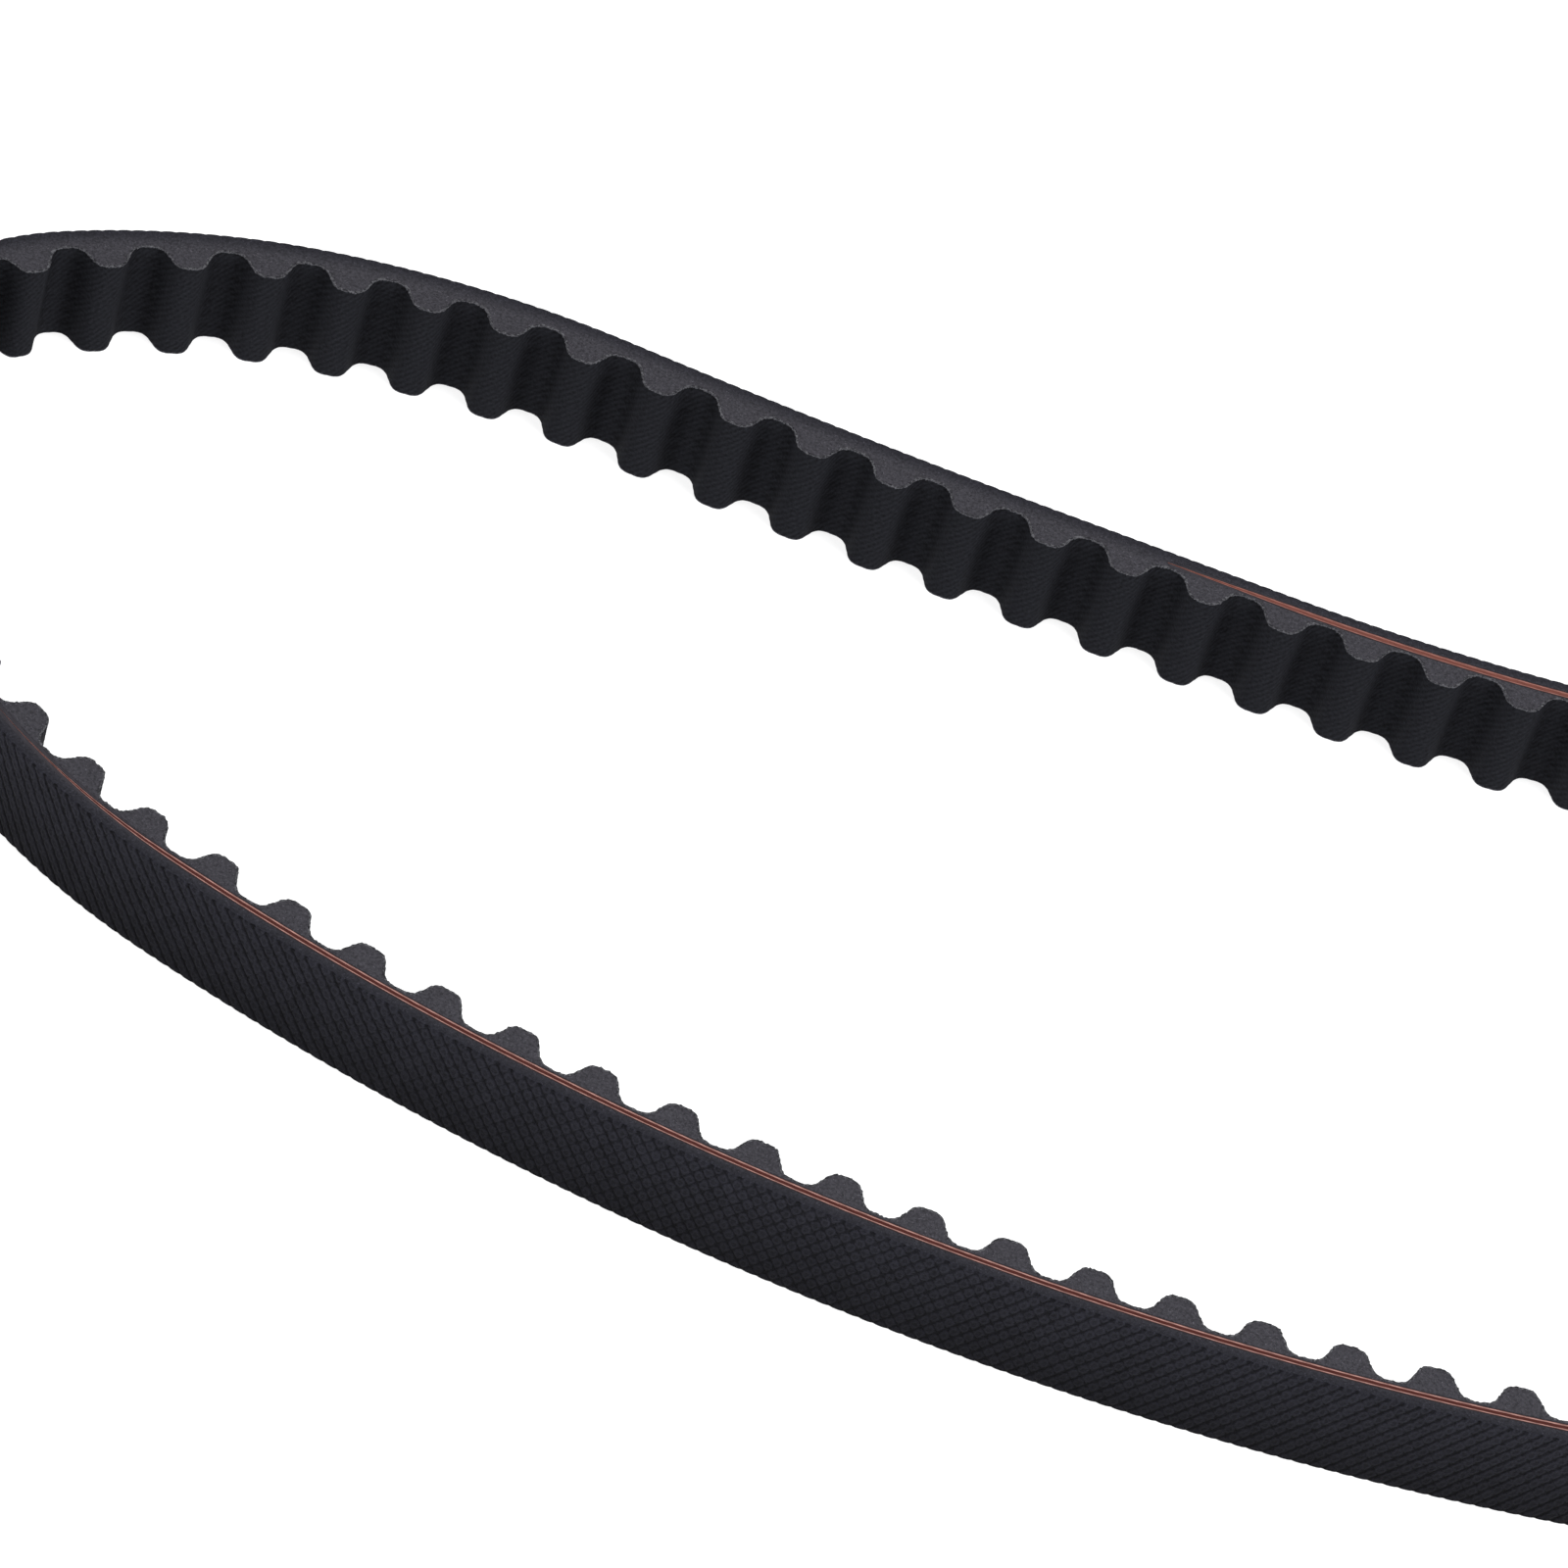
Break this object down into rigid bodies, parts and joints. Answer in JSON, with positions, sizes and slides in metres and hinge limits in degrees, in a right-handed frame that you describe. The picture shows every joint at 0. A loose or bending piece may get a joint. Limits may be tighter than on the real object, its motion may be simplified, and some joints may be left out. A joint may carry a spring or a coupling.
{
  "type": "timing belt",
  "caption": "Endless rubber timing belt with rounded trapezoidal teeth inside, a cloth facing, a wound tensile cord and a woven-textured back, lying slack on its edge.",
  "frame": {"origin": "middle of the slack loop's bounding box, on its lower cut edge", "axes": "+X along the long axis of the slack loop, +Y from the near side to the far side, +Z across the belt's width, up"},
  "size_m": [0.359, 0.1154, 0.012],
  "materials": {
    "back_rubber": "matt black rubber with a moulded weave on the back face",
    "cord": "red-brown treated glass-fibre cord",
    "tooth_rubber": "matt dark grey rubber, grainy where it is cut",
    "facing_cloth": "black twill-woven nylon cloth"
  },
  "bodies": {
    "root": {"back_cover": "back_rubber", "tensile_cord": "cord", "tooth_rubber": "tooth_rubber", "facing_fabric": "facing_cloth"}
  },
  "joints": []
}
